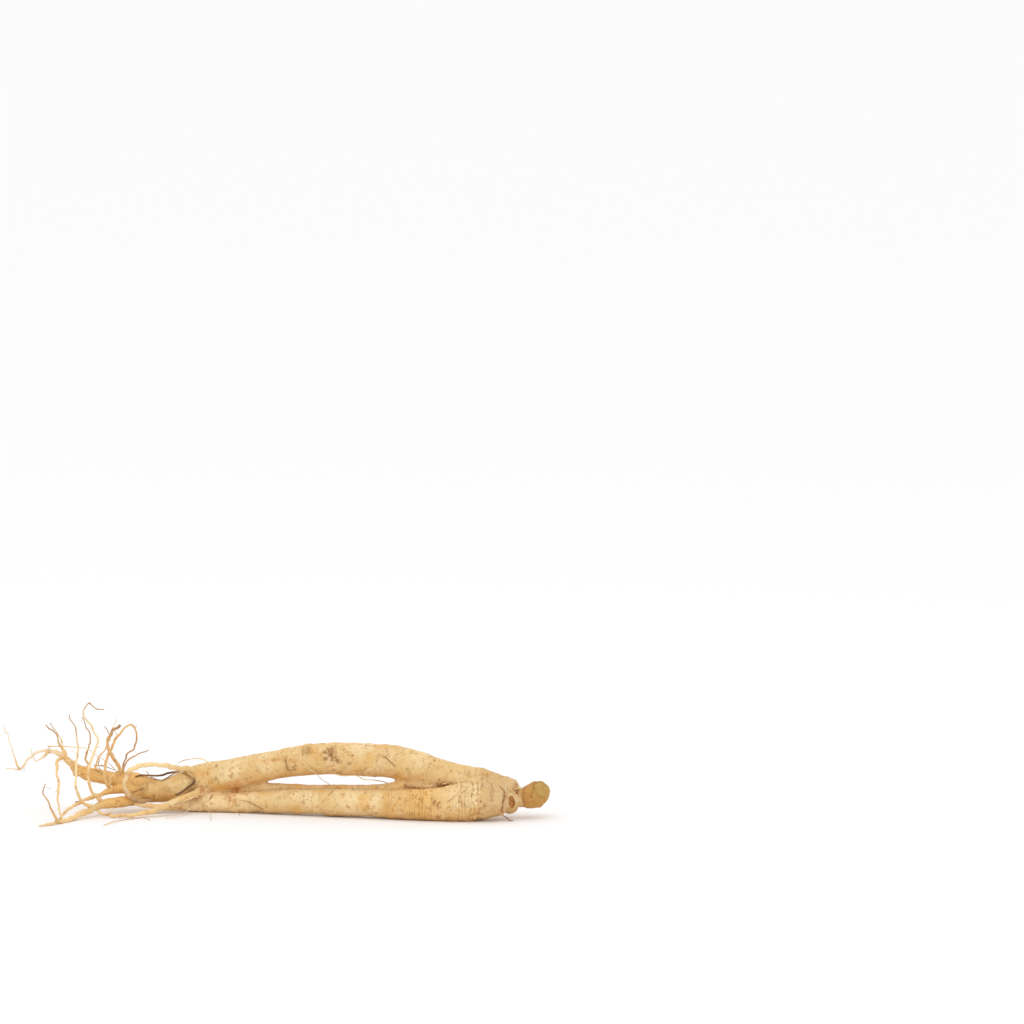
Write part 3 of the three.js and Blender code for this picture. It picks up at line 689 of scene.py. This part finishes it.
def root_skin():
    """The thick limbs as one finely modelled skin, and that skin as what rays can be cast at."""
    mesh = bare_skin()
    points = points_of(mesh)
    edges = edges_of(mesh)
    limb, along, angle, gap = limb_places(points)
    crisp = on_limb(limb, "leg_end", "stem_stub")
    fillet = (1 - smoothstep(gap, 0, FILLET_REACH)) * np.where(crisp, 0.1, 0.6)
    points = relaxed(points, edges, np.full(len(points), 0.4), 3)
    points = relaxed(points, edges, fillet, FILLET_ROUNDS)
    move_to(mesh, points)
    tree = tree_of(mesh)

    # Relief
    body = on_limb(limb, "body")
    stub = on_limb(limb, "stem_stub") * smoothstep(points[:, 0], *STUB_START)
    bulge = np.exp(-(np.linalg.norm((points - BULGE) / BULGE_RADII, axis=1) ** 2))
    groove = rings(points, body * smoothstep(gap, 0.2, 2)) * (1 - bulge)
    faint = wrinkles(points, along)
    scars_and_crevice_shade, orange, depth = scar_and_crevice_shade_marks(points, tree)
    marks = lenticels(points, limb, along, angle)
    size = np.minimum(1, np.array([path[:, 3].max() for path in PATHS.values()])[limb] / 4)
    height = 0.14 * wobble(points, 13, 31) + 0.06 * wobble(points, 5, 32) + 0.03 * wobble(points, 1.6, 33)
    height *= size
    height -= RING_DEPTH * groove + 0.07 * faint + depth + 0.05 * marks
    face = broken_face(points, stub)
    height += face * (0.22 * wobble(points, 3.5, 34) + 0.05 * wobble(points, 1.1, 35) - 0.15)
    height += 0.12 * smoothstep(points[:, 0], 6, 12) * (1 - stub) * wobble(points, 4, 36)
    points = points + normals_of(mesh) * height[:, None]
    points, dished = pressed(points)
    points[:, 2] = np.maximum(points[:, 2], 0)
    move_to(mesh, points)

    # Colours
    x = points[:, 0]
    neck = on_limb(limb, "stem_stub") * (1 - smoothstep(np.abs(x - NECK_X), 0.7, 1.3))
    collar = np.exp(-(((x - COLLAR_X) / 0.3) ** 2)) * stub
    dish = smoothstep(dished, 0, 0.4)
    orange = np.maximum(orange, dish)
    dark_side = dish * (0.4 + 0.6 * smoothstep(x, *DARK_SCAR_SIDE))
    # This brown also carries the painted crevice shade between the body and the arched leg
    stain = np.clip(scars_and_crevice_shade + marks * 0.8 + dark_side + 0.9 * neck + 0.8 * collar, 0, 1)
    # Painted shade in the seams where limbs meet, left of the crown
    seam_shade = (1 - smoothstep(gap, 0, 1)) * 0.35 * (x < 2)
    # The ring grooves and wrinkles drawn darker, together with the painted seam shade
    crease = np.max([groove * 0.6, faint * 0.25, seam_shade], axis=0)
    paint(mesh, "marks", np.column_stack([stain, crease, stub]))
    fork = on_limb(limb, "upper_fork", "lower_fork", "middle_fork")
    golden = np.maximum(fork, np.exp(-(((x - GOLDEN_MIDDLE) / GOLDEN_REACH) ** 2)) * body)
    paint(mesh, "kind", np.column_stack([golden, face, orange]))
    grey = smoothstep(x, *GREY_CROWN) * (1 - stub)
    pale = np.maximum(0.7 * bulge, body * (1 - smoothstep(x, *PALE_TAIL)))
    # Painted shade: the downward faces of the skin are drawn deeper tan
    under = smoothstep(-normals_of(mesh)[:, 2], 0, 0.9) * (1 - stub)
    paint(mesh, "tints", np.column_stack([grey, pale, under]))

    skin = bpy.data.objects.new("root_skin", mesh)
    bpy.context.scene.collection.objects.link(skin)
    mesh.polygons.foreach_set("use_smooth", np.ones(len(mesh.polygons), bool))
    return skin, tree_of(mesh)


# Rootlets and hair roots


def rootlet_paths():
    """Each rootlet's path with its radii, and its tone: those listed, which flare out of the limb that they
    grow from, and the limbs' slim tails."""
    made = []
    for name, at, thick, thin, tone, way in ROOTLETS:
        spans = len(LIMBS[name]) - 1
        parent = spline([station[:3] for station in LIMBS[name]], AXIS_STEP)
        low = min(int(at * spans), spans - 1)
        share = at * spans - low
        aim = np.array(LIMBS[name][low][:3]) * (1 - share) + np.array(LIMBS[name][low + 1][:3]) * share
        start = parent[np.linalg.norm(parent - aim, axis=1).argmin()]
        path = spline([start, *way], AXIS_STEP)
        share = np.linspace(0, 1, len(path))
        inside = PATHS[name][:, 3][np.linalg.norm(PATHS[name][:, :3] - start, axis=1).argmin()]
        flare = 1 + 0.4 * (1 - smoothstep(np.arange(len(path)) * AXIS_STEP, inside - 0.5, inside + 3))
        made.append((np.column_stack([path, (thick + (thin - thick) * share**0.8) * flare]), tone))
    for name, path in PATHS.items():
        tail = path[max(0, thick_end(path) - int(SLIM_OVERLAP / AXIS_STEP)) :].copy()
        if thick_end(path) < len(path):
            tail[: int(SLIM_OVERLAP / AXIS_STEP), 3] *= 0.92
            made.append((tail, "pale" if name == "upper_fork" else "straw"))
    return made


def side_hairs(paths):
    """Short hair roots that leave the rootlets, by a seeded draw."""
    draw = np.random.default_rng(3)
    made = []
    for path, tone in paths:
        for _ in range(int(len(path) * AXIS_STEP / 14)):
            start = path[draw.integers(len(path) // 4, len(path))]
            way = draw.normal(size=3) * (1, 1, 0.7) + (0, 0, 0.5)
            way /= np.linalg.norm(way)
            bend = draw.normal(size=3) * 0.6
            long = draw.uniform(1.2, 3.6)
            shares = np.array([(0,), (0.35,), (0.7,), (1,)])
            stations = start[:3] + long * (shares * way + shares**2 * bend)
            stations[:, 2] = np.maximum(stations[:, 2], 0.15)
            hair = spline(stations, AXIS_STEP)
            radii = np.linspace(min(0.18, start[3] * 0.5), 0.08, len(hair))
            made.append((np.column_stack([hair, radii]), draw.choice([tone, tone, "brown"])))
    return made


def grown(path, tone, seed, kink):
    """A rootlet's tube with knots and kinks, its faces and its vertices' colours."""
    draw = np.random.default_rng(seed)
    centre, radii = path[:, :3].copy(), path[:, 3]
    length = len(path) * AXIS_STEP
    sway = np.minimum(1, np.arange(len(path)) * AXIS_STEP / 4)
    for axis in range(3):
        wide, tight = wobble(path[:, :3], 5, seed * 7 + axis), wobble(path[:, :3], 2, seed * 7 + axis + 3)
        centre[:, axis] += kink * (wide + 0.3 * tight) * sway
    along = np.arange(len(path)) * AXIS_STEP
    knots = np.zeros(len(path))
    for place in draw.uniform(0, length, int(length / 7)):
        knots = np.maximum(knots, draw.uniform(0.2, 1) * np.exp(-(((along - place) / 0.7) ** 2)))
    radii = radii * (1 + 0.08 * wobble(centre, 3, seed + 900) + 0.14 * knots)
    centre[:, 2] = np.maximum(centre[:, 2], radii * 0.9)
    sides = 10 if radii.max() > 0.6 else 6
    vertices, faces, places = tube(centre, radii, sides)
    share = places / (len(path) - 1)
    tip = smoothstep(share, 0.55, 1.05) * (0.75 if tone in ("cream", "brown", "tan") else 0.1)
    colours = np.broadcast_to(linear(tone), (len(vertices), 3))
    base = 1 - smoothstep(share, 0.15, 0.4)
    for other, amount in (("node", 0.6 * knots[places]), ("bark", tip), ("skin", 0.8 * base)):
        colours = colours + (linear(other) - colours) * amount[:, None]
    return vertices, faces, colours


def root_fibres(name, paths, seed, kink):
    """Rootlets or hair roots as one piece."""
    tubes = [grown(path, tone, seed + number, kink) for number, (path, tone) in enumerate(paths)]
    made = mesh_object(name, *joined([part[:2] for part in tubes]))
    paint(made.data, "tint", np.vstack([part[2] for part in tubes]))
    return made


def hair_paths(tree):
    """The listed hair roots, laid on the root or on the floor where the camera sees them."""
    made = []
    for line, radius, tone, lies in HAIRS:
        places = spline(np.column_stack([line, np.zeros(len(line))]), AXIS_STEP)[:, :2]
        if lies in ("laid", "across"):
            reach = np.array([onto_root(place, tree, floor=lies == "laid") for place in places])
            known = np.flatnonzero(~np.isnan(reach))
            reach = np.interp(np.arange(len(reach)), known, reach[known])
            # The nearest surface within four steps, eased, so that a hair spans a dip
            padded = np.pad(reach, 8, "edge")
            nearest = np.array([padded[place : place + 9].min() for place in range(len(reach) + 8)])
            eased = np.convolve(nearest, np.full(9, 1 / 9), "valid")
            reach = np.minimum(reach, eased) - radius * 0.7
        else:
            reach = RAY_START + (lies - UP[1] * places[:, 1]) / AHEAD[1]
        path = np.array([seen_point(place, depth) for place, depth in zip(places, reach)])
        radii = radius * np.linspace(1, 0.55, len(path))
        made.append((np.column_stack([path, radii]), tone))
    return made


# Materials


def material(name):
    made = bpy.data.materials.new(name)
    made.use_nodes = True
    return made, made.node_tree, made.node_tree.nodes["Principled BSDF"]


def noise(tree, size, detail=4, roughness=0.55):
    """A noise pattern whose features are about size millimetres across."""
    made = tree.nodes.new("ShaderNodeTexNoise")
    made.inputs["Scale"].default_value = 1 / (size * MM)
    made.inputs["Detail"].default_value = detail
    made.inputs["Roughness"].default_value = roughness
    coordinates = tree.nodes.new("ShaderNodeTexCoord")
    tree.links.new(coordinates.outputs["Object"], made.inputs["Vector"])
    return made.outputs["Fac"]


def ranged(tree, value, low, high, to_low=0.0, to_high=1.0):
    made = tree.nodes.new("ShaderNodeMapRange")
    made.interpolation_type = "SMOOTHSTEP"
    tree.links.new(value, made.inputs["Value"])
    for socket, number in zip(("From Min", "From Max", "To Min", "To Max"), (low, high, to_low, to_high)):
        made.inputs[socket].default_value = number
    return made.outputs["Result"]


def times(tree, a, b):
    made = tree.nodes.new("ShaderNodeMath")
    made.operation = "MULTIPLY"
    for socket, value in zip(made.inputs, (a, b)):
        if isinstance(value, float):
            socket.default_value = value
        else:
            tree.links.new(value, socket)
    return made.outputs[0]


def blended(tree, amount, under, over, mode="MIX"):
    """Two colours mixed: a tone's name or a socket each."""
    made = tree.nodes.new("ShaderNodeMix")
    made.data_type = "RGBA"
    made.blend_type = mode
    tree.links.new(amount, made.inputs[0])
    for socket, colour in zip(made.inputs[6:8], (under, over)):
        if isinstance(colour, str):
            socket.default_value = (*linear(colour), 1)
        else:
            tree.links.new(colour, socket)
    return made.outputs[2]


def channels(tree, name):
    """The three channels of a vertex colour."""
    colour = tree.nodes.new("ShaderNodeAttribute")
    colour.attribute_name = name
    split = tree.nodes.new("ShaderNodeSeparateColor")
    tree.links.new(colour.outputs["Color"], split.inputs["Color"])
    return split.outputs


def bumped(tree, shader, height, distance):
    bump = tree.nodes.new("ShaderNodeBump")
    bump.inputs["Distance"].default_value = distance * MM
    bump.inputs["Strength"].default_value = 0.7
    tree.links.new(height, bump.inputs["Height"])
    tree.links.new(bump.outputs["Normal"], shader.inputs["Normal"])


def fleshy(shader):
    """A little light goes through the outer flesh."""
    shader.inputs["Subsurface Weight"].default_value = 0.12
    shader.inputs["Subsurface Radius"].default_value = (1.0, 0.55, 0.25)
    shader.inputs["Subsurface Scale"].default_value = 1.2 * MM
    shader.inputs["Specular IOR Level"].default_value = 0.35


def skin_material():
    made, tree, shader = material("ginseng_skin")
    stain, crease, stub = channels(tree, "marks")
    golden, broken, orange = channels(tree, "kind")
    grey, pale, under = channels(tree, "tints")
    colour = blended(tree, ranged(tree, noise(tree, 14), 0.4, 0.6), "skin", "light skin")
    warm = times(tree, ranged(tree, noise(tree, 8, 5), 0.48, 0.66), 0.7)
    colour = blended(tree, warm, colour, "warm skin")
    colour = blended(tree, times(tree, golden, 0.65), colour, "golden skin")
    colour = blended(tree, times(tree, grey, 0.6), colour, "grey skin")
    colour = blended(tree, times(tree, pale, 0.7), colour, "cream")
    # Painted shade on the downward faces of the skin
    colour = blended(tree, times(tree, under, 0.36), colour, "underside_shade")
    colour = blended(tree, stub, colour, "old stem")
    colour = blended(tree, broken, colour, "broken stem")
    clusters = ranged(tree, noise(tree, 7, 3), 0.38, 0.62, 0.15, 0.8)
    flecks = ranged(tree, noise(tree, 1.8, 6, 0.72), 0.53, 0.65)
    colour = blended(tree, times(tree, flecks, clusters), colour, "fleck")
    specks = ranged(tree, noise(tree, 1, 3, 0.5), 0.63, 0.71)
    colour = blended(tree, times(tree, specks, 0.65), colour, "stain")
    edge = ranged(tree, noise(tree, 0.8, 4), 0.3, 0.6, 0.45, 1.0)
    colour = blended(tree, times(tree, orange, edge), colour, "orange")
    # Stains and scars, with the painted crevice shade between the body and the arched leg
    colour = blended(tree, times(tree, stain, edge), colour, "stain")
    # Ring grooves and wrinkles drawn darker, and painted shade in the seams between limbs
    colour = blended(tree, times(tree, crease, edge), colour, "crease")
    tree.links.new(colour, shader.inputs["Base Color"])
    tree.links.new(ranged(tree, noise(tree, 1.5), 0.3, 0.7, 0.5, 0.7), shader.inputs["Roughness"])
    bumped(tree, shader, noise(tree, 0.7, 6, 0.65), 0.16)
    fleshy(shader)
    return made


def fibre_material():
    made, tree, shader = material("rootlet_skin")
    tint = tree.nodes.new("ShaderNodeAttribute")
    tint.attribute_name = "tint"
    mottle = ranged(tree, noise(tree, 1.4, 5, 0.7), 0.52, 0.78)
    colour = blended(tree, times(tree, mottle, 0.4), tint.outputs["Color"], "node")
    tree.links.new(colour, shader.inputs["Base Color"])
    shader.inputs["Roughness"].default_value = 0.62
    bumped(tree, shader, noise(tree, 0.5, 5, 0.6), 0.1)
    fleshy(shader)
    return made


def floor_material():
    made, _, shader = material("studio_floor")
    shader.inputs["Base Color"].default_value = (*linear("floor"), 1)
    shader.inputs["Roughness"].default_value = 0.9
    shader.inputs["Specular IOR Level"].default_value = 0.1
    return made


# Studio


def studio():
    corners = np.array([(-1, -1, 0), (1, -1, 0), (1, 1, 0), (-1, 1, 0)]) * FLOOR_REACH
    floor = mesh_object("floor", corners, [(0, 1, 2, 3)])
    floor.data.materials.append(floor_material())

    world = bpy.data.worlds.new("studio")
    world.use_nodes = True
    world.node_tree.nodes["Background"].inputs["Color"].default_value = (1, 1, 1, 1)
    world.node_tree.nodes["Background"].inputs["Strength"].default_value = SKY_STRENGTH
    bpy.context.scene.world = world

    lamp = bpy.data.lights.new("soft_box", "AREA")
    lamp.size = LAMP_SIZE
    lamp.energy = 1
    soft_box = bpy.data.objects.new("soft_box", lamp)
    soft_box.location = LAMP_PLACE
    towards = Vector(LAMP_TARGET) - Vector(LAMP_PLACE)
    soft_box.rotation_euler = towards.to_track_quat("-Z", "Y").to_euler()
    bpy.context.scene.collection.objects.link(soft_box)


def camera():
    data = bpy.data.cameras.new("camera")
    data.sensor_width = SENSOR_WIDTH
    data.lens = SENSOR_WIDTH * CAMERA_DISTANCE / PICTURE_WIDTH
    made = bpy.data.objects.new("camera", data)
    target = RIGHT * PICTURE_CENTRE[0] + UP * PICTURE_CENTRE[1]
    made.location = (target - AHEAD * CAMERA_DISTANCE) * MM
    made.rotation_euler = Vector(AHEAD).to_track_quat("-Z", "Y").to_euler()
    bpy.context.scene.collection.objects.link(made)
    bpy.context.scene.camera = made
    bpy.context.scene.view_settings.view_transform = "Standard"


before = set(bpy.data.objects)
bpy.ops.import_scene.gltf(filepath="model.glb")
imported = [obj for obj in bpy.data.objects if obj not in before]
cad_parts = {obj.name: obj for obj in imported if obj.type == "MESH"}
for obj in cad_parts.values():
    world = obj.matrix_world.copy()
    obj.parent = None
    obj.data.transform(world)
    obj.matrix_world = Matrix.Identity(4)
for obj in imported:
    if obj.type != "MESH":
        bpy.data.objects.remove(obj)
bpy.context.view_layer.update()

camera()
studio()

skin, skin_tree = root_skin()
skin.data.materials.append(skin_material())
rootlets = rootlet_paths()
fibres = fibre_material()
pieces = [
    skin,
    root_fibres("rootlets", rootlets, 100, KINK),
    root_fibres("side_hairs", side_hairs(rootlets), 300, KINK),
    root_fibres("hair_roots", hair_paths(skin_tree), 600, HAIR_KINK),
]
for piece in pieces:
    if piece is not skin:
        piece.data.materials.append(fibres)
    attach(piece, "root")
    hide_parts("ginseng_root")
